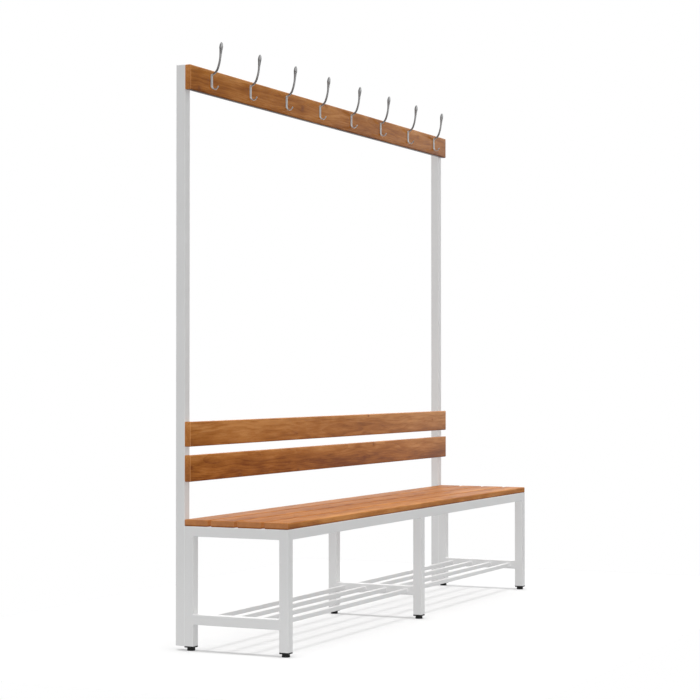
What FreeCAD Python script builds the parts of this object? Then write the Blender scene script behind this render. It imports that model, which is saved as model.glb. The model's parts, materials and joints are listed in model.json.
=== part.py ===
import FreeCAD, Part
import math
import os

# Driving dimensions in millimetres. X runs along the bench, the front faces -Y and Z is up.

# Overall
bench_length = 2000.0        # over the outer legs and the ends of the boards
upright_top = 1753.5         # floor to the top of the uprights and the hook rail
seat_height = 391.5          # floor to the top of the seat slats
rack_height = 109.0          # floor to the top of the shoe rack's crossbars

# Square tube of the legs, rails and crossbars, and of the uprights
tube_size = 30.0
upright_size = 30.0
tube_wall = 1.5
tube_corner = 1.2            # outer corner radius
least_inner_corner = 0.3     # inside a wall as thick as its corner

# Shoe rack bars
bar_count = 4                # in each bay
bar_size = 14.0
bar_wall = 1.2
bar_corner = 1.5
bar_drop = 8.6               # top of the bars below the top of the crossbars
bar_inset = 27.0             # leg face to the axis of the nearest bar

# Boards
slat_count = 4
slat_width = 79.5
slat_gap = 10.0
board_thickness = 20.0       # seat, backrest and hook rail alike
board_round = 3.5            # radius along the long edges
lower_board_bottom = 503.5   # floor to the lower backrest slat
lower_board_height = 80.0
upper_board_height = 75.0
back_board_gap = 25.0
hook_rail_height = 75.0

# Coat hooks: plate, upper prong and lower prong, measured down from the top of the rail
hook_count = 8
plate_width = 13.0
plate_thickness = 2.4
plate_height = 46.7
plate_drop = 10.2
prong_radius = 3.3
prong_rise = 12.0            # degrees above level where the upper prong leaves the plate
prong_bend = 30.0            # radius of its first bend
prong_bend_turn = 56.5       # degrees
prong_sweep = 139.0          # radius of its long bend
prong_sweep_turn = 16.0      # degrees
bulb_radius = 5.95
bulb_neck = 24.0             # from the prong to the widest place
bulb_tip = 16.5              # from the widest place to the end
lower_prong_radius = 2.2
lower_prong_start = 8.0      # above the bottom of the plate
prong_standoff = 0.05        # back of the lower prong to the rail
lower_bend = 10.5            # radius of the lower prong's bend
lower_bend_turn = 150.0      # degrees
lower_bulb_radius = 2.7
lower_bulb_neck = 2.0
lower_bulb_tip = 3.0

# Levelling feet
pad_radius = 12.5
pad_height = 9.5
pad_taper = 1.0              # how much the pad narrows towards its top
pad_chamfer = 1.0
pad_floor = 2.5              # plastic left under the stud
stud_radius = 4.0
stud_length = 34.0
stud_chamfer = 0.8
stud_clearance = 0.08        # radial, in the insert's thread and in the pad
insert_flange = 4.5
insert_depth = 25.0

# End caps of the uprights
cap_thickness = 3.0
cap_depth = 14.0
cap_screw_gap = 2.0          # spigot to the nearest board screw
plug_clearance = 0.1         # each side of a plug in its tube
plug_wall = 2.0

# Board screws
screw_radius = 2.5
screw_tip = 5.0
screw_head_radius = 4.6
screw_head_height = 2.6
screw_rim = 0.65             # straight edge of the head, below its dome
screw_cover = 6.0            # wood left beyond the point
seat_screw_margin = 12.0     # screw axis to the end of the face that a slat shares with a crossbar
access_clearance = 0.9       # radial, round a seat screw's head in the bottom of its tube
back_screw_margin = 20.0     # screw axis to the edge of a board on the uprights
hole_clearance = 0.3         # radial, in metal
pilot_clearance = 0.05       # radial, in wood
recess_width = 1.0
recess_length = 4.4
recess_depth = 1.4

# Hook screws
hook_screw_radius = 1.75
hook_screw_head_radius = 3.6
hook_screw_head_height = 1.9
hook_screw_tip = 3.5
hook_screw_cover = 5.0       # wood left beyond the point
hook_screw_top = 16.6        # top of the plate to the upper screw
hook_screw_pitch = 12.5
hook_recess_length = 3.4
countersink_clearance = 0.05

# Bolts between the uprights and the rear legs
bolt_radius = 4.0
bolt_head_radius = 7.0
bolt_head_height = 4.4
bolt_rim = 0.6               # straight edge of the head, below its dome
bolt_land = 0.6              # flat ring round the socket
bolt_socket = 5.0            # across flats
bolt_socket_depth = 2.4
bolt_proud = 2.0             # thread beyond the nut
nut_flats = 13.0
nut_height = 6.5
nut_clearance = 0.1          # radial

# Places that follow from the driving dimensions
seat_depth = slat_count * slat_width + (slat_count - 1) * slat_gap
total_depth = seat_depth + upright_size + max(bolt_head_height, screw_head_height)
front_y = -total_depth / 2
back_y = front_y + seat_depth            # rear edge of the seat, front face of the uprights
rear_y = back_y + upright_size
frame_top = seat_height - board_thickness
frame_z = frame_top - tube_size / 2
rack_z = rack_height - tube_size / 2
leg_bottom = pad_height + insert_flange
front_leg_y = front_y + tube_size / 2
rear_leg_y = back_y - tube_size / 2
upright_y = back_y + upright_size / 2
upright_x = bench_length / 2 - upright_size / 2
end_leg_x = bench_length / 2 - tube_size / 2
leg_columns = {"left": -end_leg_x, "middle": 0.0, "right": end_leg_x}
leg_rows = {"front": front_leg_y, "rear": rear_leg_y}
clear_front = front_leg_y + tube_size / 2     # between the legs of one frame
clear_back = rear_leg_y - tube_size / 2
bays = {
    "left": (-end_leg_x + tube_size / 2, -tube_size / 2),
    "right": (tube_size / 2, end_leg_x - tube_size / 2),
}
screw_bite = board_thickness - screw_cover
upper_board_bottom = lower_board_bottom + lower_board_height + back_board_gap
hook_rail_bottom = upright_top - hook_rail_height
back_boards = {
    "lower_backrest_slat": (lower_board_bottom, lower_board_height),
    "upper_backrest_slat": (upper_board_bottom, upper_board_height),
    "hook_rail": (hook_rail_bottom, hook_rail_height),
}
board_face_y = back_y - board_thickness
hook_pitch = bench_length / hook_count

UP = FreeCAD.Vector(0, 0, 1)
DOWN = FreeCAD.Vector(0, 0, -1)
FORWARD = FreeCAD.Vector(0, -1, 0)
BACKWARD = FreeCAD.Vector(0, 1, 0)
ORIGIN = FreeCAD.Vector(0, 0, 0)
nodes = {}


def point(x, y, z):
    return FreeCAD.Vector(x, y, z)


def turned(shape, start, direction):
    """Copy of a shape built along +Z from the origin, set at a start point and along a direction."""
    placed = shape.copy()
    placed.Placement = FreeCAD.Placement(start, FreeCAD.Rotation(UP, direction))
    return placed


def rounded_rectangle(width, height, radius):
    """Closed wire centred on the origin in the XY plane."""
    a = width / 2 - radius
    b = height / 2 - radius
    edges = []
    last = point(a + radius, -b, 0)
    for k, (x, y) in enumerate([(a, b), (-a, b), (-a, -b), (a, -b)]):
        angles = [math.radians(90 * k + step) for step in (0, 45, 90)]
        corner = [point(x + radius * math.cos(t), y + radius * math.sin(t), 0) for t in angles]
        edges.append(Part.LineSegment(last, corner[0]).toShape())
        edges.append(Part.Arc(*corner).toShape())
        last = corner[2]
    return Part.Wire(edges)


def prism(wire, height):
    return Part.Face(wire).extrude(point(0, 0, height))


def square_pipe(size, bore, corner, bore_corner, length):
    """Square pipe along +Z from the origin."""
    outer = prism(rounded_rectangle(size, size, corner), length)
    return outer.cut(prism(rounded_rectangle(bore, bore, bore_corner), length))


def inner_corner(corner, wall):
    """Corner radius inside a wall."""
    return max(corner - wall, least_inner_corner)


def tube(start, end, size, wall, corner):
    run = end - start
    pipe = square_pipe(size, size - 2 * wall, corner, inner_corner(corner, wall), run.Length)
    return turned(pipe, start, FreeCAD.Vector(run).normalize())


def drilled(shape, holes):
    """Cuts round holes, each given as start, direction, radius and depth."""
    return shape.cut([Part.makeCylinder(radius, depth, start, way) for start, way, radius, depth in holes])


def spun(edges):
    """Solid of revolution about Z from a closed outline in the XZ plane."""
    return Part.Face(Part.Wire(edges)).revolve(ORIGIN, UP, 360)


def outline(points):
    return [Part.LineSegment(a, b).toShape() for a, b in zip(points, points[1:])]


def cross_recess(top, length):
    """Cutter for a cross recess whose mouth is at a height on the Z axis."""
    blades = []
    for size_x, size_y in ((length, recess_width), (recess_width, length)):
        blades.append(Part.makeBox(size_x, size_y, recess_depth, point(-size_x / 2, -size_y / 2, top)))
    return blades[0].fuse(blades[1])


def quarter_ellipse(start, corner, end):
    """Quarter of an ellipse, where the corner is the place at which the tangents of its ends meet."""
    curve = Part.BezierCurve()
    curve.setPoles([start, corner, end])
    curve.setWeight(2, math.sqrt(0.5))
    return curve.toShape()


def dome(flat, radius, height, rim):
    """Half outline of a domed head under the origin, from the flat on its crown to its straight rim."""
    return quarter_ellipse(point(flat, 0, -height), point(radius, 0, -height), point(radius, 0, -rim))


def pan_screw(length):
    """Round-headed wood screw along +Z with the underside of its head at the origin."""
    body = outline([
        point(screw_head_radius, 0, -screw_rim),
        point(screw_head_radius, 0, 0),
        point(screw_radius, 0, 0),
        point(screw_radius, 0, length - screw_tip),
        point(0, 0, length),
        point(0, 0, -screw_head_height),
    ])
    blank = spun([dome(0, screw_head_radius, screw_head_height, screw_rim)] + body)
    return blank.cut(cross_recess(-screw_head_height, recess_length))


def countersunk_screw(length):
    """Flat-headed wood screw along +Z with the top of its head at the origin."""
    body = spun(outline([
        point(0, 0, 0),
        point(hook_screw_head_radius, 0, 0),
        point(hook_screw_radius, 0, hook_screw_head_height),
        point(hook_screw_radius, 0, length - hook_screw_tip),
        point(0, 0, length),
        point(0, 0, 0),
    ]))
    return body.cut(cross_recess(0, hook_recess_length))


def hexagon(flats, height):
    """Hexagonal prism along +Z from the origin, given its size across flats."""
    radius = flats / math.sqrt(3)
    angles = [math.radians(60 * k) for k in range(7)]
    corners = [point(radius * math.cos(t), radius * math.sin(t), 0) for t in angles]
    return prism(Part.makePolygon(corners), height)


def button_bolt(length):
    """Button-headed socket bolt along +Z with the underside of its head at the origin."""
    crown = point(0, 0, -bolt_head_height)
    flat = bolt_socket / math.sqrt(3) + bolt_land
    body = outline([
        point(bolt_head_radius, 0, -bolt_rim),
        point(bolt_head_radius, 0, 0),
        point(bolt_radius, 0, 0),
        point(bolt_radius, 0, length),
        point(0, 0, length),
        crown,
        point(flat, 0, -bolt_head_height),
    ])
    socket = hexagon(bolt_socket, bolt_socket_depth)
    socket.translate(crown)
    return spun([dome(flat, bolt_head_radius, bolt_head_height, bolt_rim)] + body).cut(socket)


def make_uprights():
    """Both uprights, drilled through both walls for the board screws and the leg bolts."""
    for side, sign in (("left", -1), ("right", 1)):
        x = sign * upright_x
        bottom = point(x, upright_y, leg_bottom + cap_thickness)
        top = point(x, upright_y, upright_top - cap_thickness)
        holes = []
        for z in back_screw_heights():
            holes.append((point(x, rear_y, z), FORWARD, screw_radius + hole_clearance, upright_size))
        for z in (frame_z, rack_z):
            holes.append((point(x, rear_y, z), FORWARD, bolt_radius + hole_clearance, upright_size))
        nodes[side + "_upright"] = drilled(tube(bottom, top, upright_size, tube_wall, tube_corner), holes)


def plug(thickness, depth, size):
    """Square plug for a tube: a flange from the origin down to -thickness, and a hollow spigot upwards."""
    flange = prism(rounded_rectangle(size, size, tube_corner), thickness)
    flange.translate(point(0, 0, -thickness))
    spigot = size - 2 * (tube_wall + plug_clearance)
    spigot_corner = inner_corner(tube_corner, tube_wall)
    hollow_corner = inner_corner(spigot_corner, plug_wall)
    walls = square_pipe(spigot, spigot - 2 * plug_wall, spigot_corner, hollow_corner, depth)
    return flange.fuse(walls).removeSplitter()


def make_upright_caps():
    caps = []
    for x in (-upright_x, upright_x):
        cap = plug(cap_thickness, cap_depth, upright_size)
        caps.append(turned(cap, point(x, upright_y, upright_top - cap_thickness), DOWN))
        caps.append(turned(cap, point(x, upright_y, leg_bottom + cap_thickness), UP))
    nodes["upright_caps"] = Part.makeCompound(caps)


def make_legs():
    """Six legs; the outer rear ones are drilled for the upright bolts."""
    for column, x in leg_columns.items():
        for row, y in leg_rows.items():
            leg = tube(point(x, y, leg_bottom), point(x, y, frame_top), tube_size, tube_wall, tube_corner)
            if row == "rear" and column != "middle":
                bolt_x = math.copysign(upright_x, x)
                leg = drilled(leg, [
                    (point(bolt_x, back_y, z), FORWARD, bolt_radius + hole_clearance, tube_size / 2)
                    for z in (frame_z, rack_z)
                ])
            nodes[column + "_" + row + "_leg"] = leg


def seat_screw_rows():
    """For each seat slat, the Y places of its screws on a crossbar: near the ends of the face they share."""
    rows = []
    for k in range(slat_count):
        slat_back = back_y - k * (slat_width + slat_gap)
        shared_back = min(slat_back, clear_back)
        shared_front = max(slat_back - slat_width, clear_front)
        rows.append((shared_back - seat_screw_margin, shared_front + seat_screw_margin))
    return rows


def rail_screw_places():
    """One screw in the middle of each seat rail, as X and Y."""
    return [((a + b) / 2, y) for a, b in bays.values() for y in leg_rows.values()]


def seat_screw_places():
    crossbar_places = [(x, y) for x in leg_columns.values() for row in seat_screw_rows() for y in row]
    return crossbar_places + rail_screw_places()


def seat_screw_holes(x, y):
    """Way in for the screw's head through a tube's lower wall, and its shank's hole in the upper wall."""
    access = (point(x, y, frame_z), DOWN, screw_head_radius + access_clearance, tube_size / 2)
    shank = (point(x, y, frame_z), UP, screw_radius + hole_clearance, tube_size / 2)
    return [access, shank]


def make_seat_frame():
    """Crossbars and rails under the seat, drilled for the slat screws."""
    for column, x in leg_columns.items():
        start = point(x, clear_front, frame_z)
        end = point(x, clear_back, frame_z)
        holes = [hole for row in seat_screw_rows() for y in row for hole in seat_screw_holes(x, y)]
        nodes[column + "_seat_crossbar"] = drilled(tube(start, end, tube_size, tube_wall, tube_corner), holes)
    for bay, (start_x, end_x) in bays.items():
        for row, y in leg_rows.items():
            start = point(start_x, y, frame_z)
            end = point(end_x, y, frame_z)
            holes = seat_screw_holes((start_x + end_x) / 2, y)
            rail = tube(start, end, tube_size, tube_wall, tube_corner)
            nodes[row + "_" + bay + "_seat_rail"] = drilled(rail, holes)


def make_shoe_rack():
    """Crossbars between the legs and the small bars that run between the crossbars."""
    for column, x in leg_columns.items():
        start = point(x, clear_front, rack_z)
        end = point(x, clear_back, rack_z)
        nodes[column + "_shoe_crossbar"] = tube(start, end, tube_size, tube_wall, tube_corner)
    bar_z = rack_height - bar_drop - bar_size / 2
    first_y = clear_back - bar_inset
    bar_pitch = (clear_back - clear_front - 2 * bar_inset) / (bar_count - 1)
    for bay, (start_x, end_x) in bays.items():
        for k in range(bar_count):
            y = first_y - k * bar_pitch
            bar = tube(point(start_x, y, bar_z), point(end_x, y, bar_z), bar_size, bar_wall, bar_corner)
            nodes[bay + "_shoe_bar_" + str(k + 1)] = bar


def board(size_y, size_z, y, z):
    """Full-length board with rounded long edges, centred on a line at y and z."""
    section = rounded_rectangle(size_z, size_y, board_round)
    return turned(prism(section, bench_length), point(-bench_length / 2, y, z), point(1, 0, 0))


def make_seat_slats():
    pilot = screw_radius + pilot_clearance
    rows = seat_screw_rows()
    for k in range(slat_count):
        y = back_y - k * (slat_width + slat_gap) - slat_width / 2
        slat = board(slat_width, board_thickness, y, seat_height - board_thickness / 2)
        places = [(x, screw_y) for x in leg_columns.values() for screw_y in rows[k]]
        places += [(x, rail_y) for x, rail_y in rail_screw_places() if abs(rail_y - y) < slat_width / 2]
        holes = [(point(x, screw_y, frame_top), UP, pilot, screw_bite) for x, screw_y in places]
        nodes["seat_slat_" + str(k + 1)] = drilled(slat, holes)


def board_screw_heights(name):
    """A screw near each long edge of a board on the uprights, clear of the caps in their top ends."""
    bottom, height = back_boards[name]
    highest = upright_top - cap_thickness - cap_depth - cap_screw_gap - screw_radius
    return [bottom + back_screw_margin, min(bottom + height - back_screw_margin, highest)]


def back_screw_heights():
    return [z for name in back_boards for z in board_screw_heights(name)]


def hook_places():
    return [(k - (hook_count - 1) / 2) * hook_pitch for k in range(hook_count)]


def hook_screw_heights():
    top = upright_top - plate_drop - hook_screw_top
    return [top, top - hook_screw_pitch]


def make_back_boards():
    """Backrest slats and hook rail, with pilot holes from behind and, in the rail, for the hooks."""
    pilot = screw_radius + pilot_clearance
    hook_pilot = hook_screw_radius + pilot_clearance
    hook_bite = board_thickness - hook_screw_cover
    for name, (bottom, height) in back_boards.items():
        holes = []
        for x in (-upright_x, upright_x):
            for z in board_screw_heights(name):
                holes.append((point(x, back_y, z), FORWARD, pilot, screw_bite))
        if name == "hook_rail":
            for x in hook_places():
                for z in hook_screw_heights():
                    holes.append((point(x, board_face_y, z), BACKWARD, hook_pilot, hook_bite))
        blank = board(board_thickness, height, back_y - board_thickness / 2, bottom + height / 2)
        nodes[name] = drilled(blank, holes)


def bend(start, heading, radius, turn):
    """Arc in the YZ plane that climbs away from the rail: places are (forward, up), angles in degrees."""
    first = math.radians(heading)
    centre = (start[0] - radius * math.sin(first), start[1] + radius * math.cos(first))
    stops = []
    for share in (0, 0.5, 1):
        t = math.radians(heading + share * turn)
        stops.append((centre[0] + radius * math.sin(t), centre[1] - radius * math.cos(t)))
    arc = Part.Arc(*[point(0, -f, z) for f, z in stops]).toShape()
    return arc, stops[2], heading + turn


def heading_vector(heading):
    t = math.radians(heading)
    return point(0, -math.cos(t), math.sin(t))


def rod(arcs, radius, start, heading):
    """Round rod along joined arcs."""
    section = Part.makeCircle(radius, point(0, -start[0], start[1]), heading_vector(heading))
    return Part.Wire(arcs).makePipeShell([Part.Wire(section)], True, False)


def bulb(thin, thick, neck, tip):
    """Drop-shaped end along +Z: a neck that swells from thin to thick in two arcs, then half an ellipse."""
    half_step = (thick - thin) / 2
    radius = ((neck / 2) ** 2 + half_step ** 2) / (2 * half_step)
    sweep = math.asin(neck / 2 / radius)
    flare = []
    swell = []
    for t in (0, sweep / 2, sweep):
        flare.append(point(thin + radius - radius * math.cos(t), 0, radius * math.sin(t)))
        swell.append(point(thick - radius + radius * math.cos(t), 0, neck - radius * math.sin(t)))
    end = point(0, 0, neck + tip)
    return spun([
        Part.LineSegment(ORIGIN, flare[0]).toShape(),
        Part.Arc(*flare).toShape(),
        Part.Arc(*reversed(swell)).toShape(),
        quarter_ellipse(point(thick, 0, neck), point(thick, 0, neck + tip), end),
        Part.LineSegment(end, ORIGIN).toShape(),
    ])


def hook_plate():
    """Plate with half-round ends, on the rail's face and below the level of the rail's top."""
    half = plate_width / 2
    top = -plate_drop - half
    bottom = -plate_drop - plate_height + half
    corners = [point(half, 0, top), point(-half, 0, top), point(-half, 0, bottom), point(half, 0, bottom)]
    edges = [
        Part.Arc(corners[0], point(0, 0, top + half), corners[1]).toShape(),
        Part.LineSegment(corners[1], corners[2]).toShape(),
        Part.Arc(corners[2], point(0, 0, bottom - half), corners[3]).toShape(),
        Part.LineSegment(corners[3], corners[0]).toShape(),
    ]
    return Part.Face(Part.Wire(edges)).extrude(FORWARD * plate_thickness)


def hook_blank():
    """One coat hook, with its origin on the rail's face, level with the rail's top."""
    start = (plate_thickness / 2, -plate_drop - prong_radius)
    first, stop, heading = bend(start, prong_rise, prong_bend, prong_bend_turn)
    second, stop, heading = bend(stop, heading, prong_sweep, prong_sweep_turn)
    upper = rod([first, second], prong_radius, start, prong_rise)
    upper_end = turned(bulb(prong_radius, bulb_radius, bulb_neck, bulb_tip),
                       point(0, -stop[0], stop[1]), heading_vector(heading))

    lower_start = (lower_prong_radius + prong_standoff, -plate_drop - plate_height + lower_prong_start)
    arc, lower_stop, lower_heading = bend(lower_start, -90, lower_bend, lower_bend_turn)
    lower = rod([arc], lower_prong_radius, lower_start, -90)
    lower_end = turned(bulb(lower_prong_radius, lower_bulb_radius, lower_bulb_neck, lower_bulb_tip),
                       point(0, -lower_stop[0], lower_stop[1]), heading_vector(lower_heading))
    blank = hook_plate().fuse([upper, upper_end, lower, lower_end])

    cutters = []
    for z in hook_screw_heights():
        mouth = point(0, -plate_thickness, z - upright_top)
        bore = hook_screw_radius + hole_clearance
        wide = hook_screw_head_radius + countersink_clearance
        narrow = hook_screw_radius + countersink_clearance
        cutters.append(Part.makeCylinder(bore, plate_thickness, mouth, BACKWARD))
        cutters.append(Part.makeCone(wide, narrow, hook_screw_head_height, mouth, BACKWARD))
    return blank.cut(cutters)


def make_hooks():
    blank = hook_blank()
    for k, x in enumerate(hook_places()):
        hook = blank.copy()
        hook.translate(point(x, board_face_y, upright_top))
        nodes["hook_" + str(k + 1)] = hook


def make_feet():
    """Threaded inserts in the legs, and under each a pad moulded onto a steel stud."""
    inserts = []
    for column, x in leg_columns.items():
        for row, y in leg_rows.items():
            inserts.append(turned(foot_insert(), point(x, y, leg_bottom), UP))
            foot = column + "_" + row + "_foot"
            nodes[foot + "_pad"] = turned(foot_pad(), point(x, y, 0), UP)
            nodes[foot + "_stud"] = turned(foot_stud(), point(x, y, pad_floor), UP)
    nodes["foot_inserts"] = Part.makeCompound(inserts)


def foot_insert():
    """Plug for the foot of a leg, with a bored boss for the stud."""
    boss = Part.makeCylinder(stud_radius + plug_wall, insert_depth)
    blank = plug(insert_flange, insert_depth, tube_size).fuse(boss).removeSplitter()
    bore = (point(0, 0, -insert_flange), UP, stud_radius + stud_clearance, insert_flange + insert_depth)
    return drilled(blank, [bore])


def foot_pad():
    bore = stud_radius + stud_clearance
    return spun(outline([
        point(0, 0, 0),
        point(pad_radius - pad_chamfer, 0, 0),
        point(pad_radius, 0, pad_chamfer),
        point(pad_radius - pad_taper, 0, pad_height),
        point(bore, 0, pad_height),
        point(bore, 0, pad_floor),
        point(0, 0, pad_floor),
        point(0, 0, 0),
    ]))


def foot_stud():
    return spun(outline([
        point(0, 0, 0),
        point(stud_radius, 0, 0),
        point(stud_radius, 0, stud_length - stud_chamfer),
        point(stud_radius - stud_chamfer, 0, stud_length),
        point(0, 0, stud_length),
        point(0, 0, 0),
    ]))


def make_fasteners():
    seat_screw = pan_screw(tube_wall + screw_bite - pilot_clearance)
    nodes["seat_screws"] = Part.makeCompound(
        [turned(seat_screw, point(x, y, frame_top - tube_wall), UP) for x, y in seat_screw_places()])

    back_screw = pan_screw(upright_size + screw_bite - pilot_clearance)
    nodes["back_board_screws"] = Part.makeCompound(
        [turned(back_screw, point(x, rear_y, z), FORWARD)
         for x in (-upright_x, upright_x) for z in back_screw_heights()])

    hook_screw = countersunk_screw(plate_thickness + board_thickness - hook_screw_cover - pilot_clearance)
    nodes["hook_screws"] = Part.makeCompound(
        [turned(hook_screw, point(x, board_face_y - plate_thickness, z), BACKWARD)
         for x in hook_places() for z in hook_screw_heights()])

    bolt = button_bolt(upright_size + tube_wall + nut_height + bolt_proud)
    nut = drilled(hexagon(nut_flats, nut_height), [(ORIGIN, UP, bolt_radius + nut_clearance, nut_height)])
    places = [(x, z) for x in (-upright_x, upright_x) for z in (frame_z, rack_z)]
    nodes["upright_bolts"] = Part.makeCompound(
        [turned(bolt, point(x, rear_y, z), FORWARD) for x, z in places])
    nodes["upright_nuts"] = Part.makeCompound(
        [turned(nut, point(x, back_y - tube_wall, z), FORWARD) for x, z in places])


def main():
    make_uprights()
    make_upright_caps()
    make_legs()
    make_seat_frame()
    make_shoe_rack()
    make_seat_slats()
    make_back_boards()
    make_hooks()
    make_feet()
    make_fasteners()
    os.makedirs("parts", exist_ok=True)
    for name, shape in nodes.items():
        shape.exportStep("parts/" + name + ".step")
    box = Part.makeCompound(list(nodes.values())).BoundBox
    print(len(nodes), "nodes,", sum(len(shape.Solids) for shape in nodes.values()), "solids")
    print("box", [round(v, 2) for v in (box.XMin, box.YMin, box.ZMin, box.XMax, box.YMax, box.ZMax)])


main()
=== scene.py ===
import json

import bpy
import numpy as np
from mathutils import Matrix, Vector

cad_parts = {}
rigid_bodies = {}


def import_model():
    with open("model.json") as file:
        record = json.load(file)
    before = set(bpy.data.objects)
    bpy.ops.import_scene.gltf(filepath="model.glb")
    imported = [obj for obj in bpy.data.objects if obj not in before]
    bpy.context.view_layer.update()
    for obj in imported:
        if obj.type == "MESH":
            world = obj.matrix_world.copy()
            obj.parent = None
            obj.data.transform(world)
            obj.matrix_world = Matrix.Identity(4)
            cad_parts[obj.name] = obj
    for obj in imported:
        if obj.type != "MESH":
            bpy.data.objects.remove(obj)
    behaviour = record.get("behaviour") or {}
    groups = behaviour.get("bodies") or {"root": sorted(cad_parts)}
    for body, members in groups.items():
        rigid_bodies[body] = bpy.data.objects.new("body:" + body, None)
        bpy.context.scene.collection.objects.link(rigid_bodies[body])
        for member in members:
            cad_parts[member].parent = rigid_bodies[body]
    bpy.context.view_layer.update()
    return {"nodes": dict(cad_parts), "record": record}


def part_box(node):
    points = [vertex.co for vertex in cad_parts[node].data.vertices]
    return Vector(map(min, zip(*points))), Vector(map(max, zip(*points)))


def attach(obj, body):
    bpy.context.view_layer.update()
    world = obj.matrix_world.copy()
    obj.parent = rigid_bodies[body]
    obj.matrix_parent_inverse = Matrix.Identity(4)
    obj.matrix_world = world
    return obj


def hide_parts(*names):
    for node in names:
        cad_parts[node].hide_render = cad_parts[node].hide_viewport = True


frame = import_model()
mm = 0.001
slotOf = {part["node"]: part["material_slot"] for part in frame["record"]["subparts"]}
bodyOf = {node: body for body, members in frame["record"]["behaviour"]["bodies"].items() for node in members}
columns = ("left", "middle", "right")
rows = ("front", "rear")
bays = ("left", "right")


# Shader maths: a wire is an output socket, and sums and products of wires add Math nodes
class Wire:
    def __init__(self, finish, socket):
        self.finish = finish
        self.socket = socket

    def math(self, operation, *others):
        return self.finish.node("Math", {"operation": operation}, dict(enumerate((self,) + others)))

    def vector(self, operation, other=None, output="Vector"):
        inputs = {0: self} if other is None else {0: self, 1: other}
        return self.finish.node("VectorMath", {"operation": operation}, inputs, output)

    def other(self, output):
        return Wire(self.finish, self.socket.node.outputs[output])

    def parts(self):
        split = self.finish.node("SeparateXYZ", {}, {0: self}, "X")
        return split, split.other("Y"), split.other("Z")

    def clamped(self):
        return self.math("MINIMUM", 1.0).math("MAXIMUM", 0.0)

    def __add__(self, other):
        return self.math("ADD", other)

    def __sub__(self, other):
        return self.math("SUBTRACT", other)

    def __mul__(self, other):
        return self.math("MULTIPLY", other)

    def __truediv__(self, other):
        return self.math("DIVIDE", other)

    def __pow__(self, other):
        return self.math("POWER", other)

    def __rsub__(self, other):
        return self.finish.node("Math", {"operation": "SUBTRACT"}, {0: other, 1: self})

    __radd__ = __add__
    __rmul__ = __mul__


# A node tree that is filled one node at a time
class Finish:
    def __init__(self, owner):
        owner.use_nodes = True
        self.owner = owner
        self.tree = owner.node_tree
        self.tree.nodes.clear()

    # settings are set first; inputs are keyed by name or number and hold values or wires
    def node(self, kind, settings=None, inputs=None, output=0):
        made = self.tree.nodes.new("ShaderNode" + kind)
        for key, value in (settings or {}).items():
            if key == "stops":
                self.setStops(made.color_ramp.elements, value)
            else:
                setattr(made, key, value)
        for key, value in (inputs or {}).items():
            if isinstance(value, Wire):
                self.tree.links.new(value.socket, made.inputs[key])
            else:
                made.inputs[key].default_value = value
        return Wire(self, made.outputs[output]) if len(made.outputs) else None

    def setStops(self, elements, stops):
        while len(elements) < len(stops):
            elements.new(1.0)
        for element, (place, colour) in zip(elements, stops):
            element.position = place
            element.color = (*colour, 1.0)

    def place(self):
        return self.node("TexCoord", output="Object")

    # one of the vectors that addPiece puts on a mesh
    def field(self, name):
        return self.node("Attribute", {"attribute_name": name}, output="Vector")

    # cycles are per metre, along each axis
    def noise(self, vector, cycles, detail, roughness=0.5):
        stretched = vector.vector("MULTIPLY", cycles)
        return self.node("TexNoise", {}, {"Vector": stretched, "Scale": 1.0, "Detail": detail,
                                          "Roughness": roughness})

    # noise that is alike in all directions, with patches of about this size
    def evenNoise(self, vector, size, detail):
        return self.noise(vector, (1 / size,) * 3, detail)

    # inputs 6 and 7 and output 2 of a Mix node are its colours
    def mixed(self, factor, first, second):
        return self.node("Mix", {"data_type": "RGBA"}, {0: factor, 6: first, 7: second}, 2)

    def bump(self, height, strength, depth):
        return self.node("Bump", {}, {"Strength": strength, "Distance": depth, "Height": height})

    # base_color sets Base Color, and specular_ior_level sets Specular IOR Level
    def surface(self, **inputs):
        sockets = [key.replace("_", " ").title().replace("Ior", "IOR") for key in inputs]
        shader = self.node("BsdfPrincipled", {}, dict(zip(sockets, inputs.values())))
        self.node("OutputMaterial", {}, {"Surface": shader})
        return self.owner


def newFinish(name):
    return Finish(bpy.data.materials.new(name))


def grey(value):
    return (value, value, value, 1.0)


# Finishes

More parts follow.
